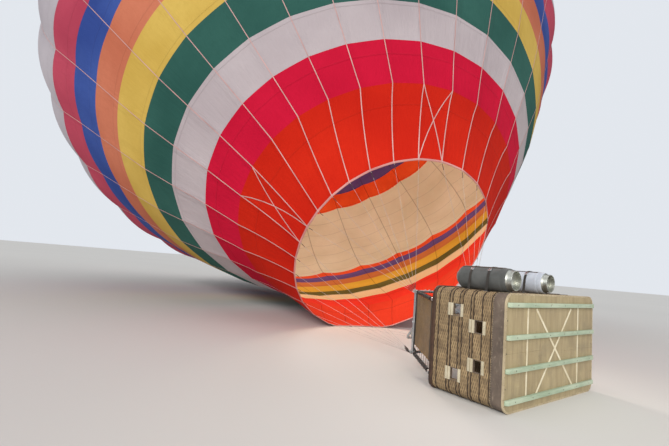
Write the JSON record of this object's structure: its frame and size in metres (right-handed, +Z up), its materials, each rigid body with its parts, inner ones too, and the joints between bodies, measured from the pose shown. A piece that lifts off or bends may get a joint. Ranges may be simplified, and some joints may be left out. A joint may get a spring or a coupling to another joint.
{
  "type": "hot air balloon",
  "caption": "Striped hot air balloon being filled: its wicker basket lies on its side, the burner is tipped into the mouth and the envelope rises behind.",
  "frame": {"origin": "middle of the envelope on its own axis, where the air holds it up: 15.47 m from the mouth, 11.96 m above the ground", "axes": "+X along the basket's length, level, +Y level from the basket's floor board to its rim and on under the envelope, +Z up"},
  "size_m": [23.8884, 26.4489, 22.7425],
  "materials": {
    "orange_red_cloth": "matt coated nylon",
    "crimson_cloth": "matt coated nylon",
    "white_cloth": "matt coated nylon",
    "green_cloth": "matt coated nylon",
    "yellow_cloth": "matt coated nylon",
    "orange_cloth": "matt coated nylon",
    "blue_cloth": "matt coated nylon",
    "rose_cloth": "matt coated nylon",
    "load_tape": "woven polyester tape",
    "wicker": "woven cane, worn",
    "plywood": "varnished, scratched",
    "leather": "worn hide",
    "skid_paint": "painted, chipped",
    "polished_steel": "polished",
    "grey_jacket": "padded cover cloth",
    "pale_jacket": "padded cover cloth",
    "burner_steel": "bare stainless steel",
    "dark_padding": "zipped pole cover",
    "olive_cloth": "canvas",
    "wire_steel": "twisted stainless wire"
  },
  "bodies": {
    "root": {"band_01_throat": "orange_red_cloth", "band_02_crimson": "crimson_cloth", "band_03_white": "white_cloth", "band_04_green": "green_cloth", "band_05_yellow": "yellow_cloth", "band_06_orange": "orange_cloth", "band_07_blue": "blue_cloth", "band_08_rose": "rose_cloth", "band_09_wide_white": "white_cloth", "band_10_rose": "rose_cloth", "band_11_blue": "blue_cloth", "band_12_orange": "orange_cloth", "band_13_yellow": "yellow_cloth", "band_14_green": "green_cloth", "band_15_white": "white_cloth", "band_16_crimson": "crimson_cloth", "band_17_crown": "orange_red_cloth", "mouth_hem": "orange_red_cloth", "crown_web": "load_tape", "basket_wall": "wicker", "partition_near": "wicker", "partition_far": "wicker", "basket_floor": "plywood", "basket_rim": "leather", "scuff_band": "leather", "skid_1": "skid_paint", "skid_2": "skid_paint", "skid_3": "skid_paint", "skid_4": "skid_paint", "fuel_cylinder_1": "polished_steel", "fuel_cylinder_2": "polished_steel", "cylinder_jacket_1": "grey_jacket", "cylinder_jacket_2": "pale_jacket", "burner_frame": "burner_steel", "pole_near_low": "dark_padding", "pole_near_high": "dark_padding", "pole_far_low": "dark_padding", "pole_far_high": "dark_padding", "cloth_panel": "olive_cloth", "wires_near_high": "wire_steel", "wires_near_low": "wire_steel", "wires_far_low": "wire_steel", "wires_far_high": "wire_steel"},
    "gimbal": {"gimbal_ring": "burner_steel"},
    "burner": {"burner_block": "burner_steel", "burner_can_1": "burner_steel", "burner_can_2": "burner_steel", "burner_can_3": "burner_steel", "burner_can_4": "burner_steel"},
    "vent": {"parachute_vent": "orange_red_cloth"}
  },
  "joints": [
    {"name": "gimbal_tilt", "type": "hinge", "parent": "root", "child": "gimbal", "pos_m": [-4.7704, -13.598, -11.1314], "axis": [1, 0, 0], "range_deg": [-75, 5]},
    {"name": "burner_swing", "type": "hinge", "parent": "gimbal", "child": "burner", "pos_m": [-4.7704, -13.598, -11.1314], "axis": [0, -0.5736, 0.8192], "range_deg": [-30, 30]},
    {"name": "vent_slide", "type": "slide", "parent": "root", "child": "vent", "axis": [-0.2328, -0.7251, -0.6481], "range_m": [0, 1.2]}
  ]
}
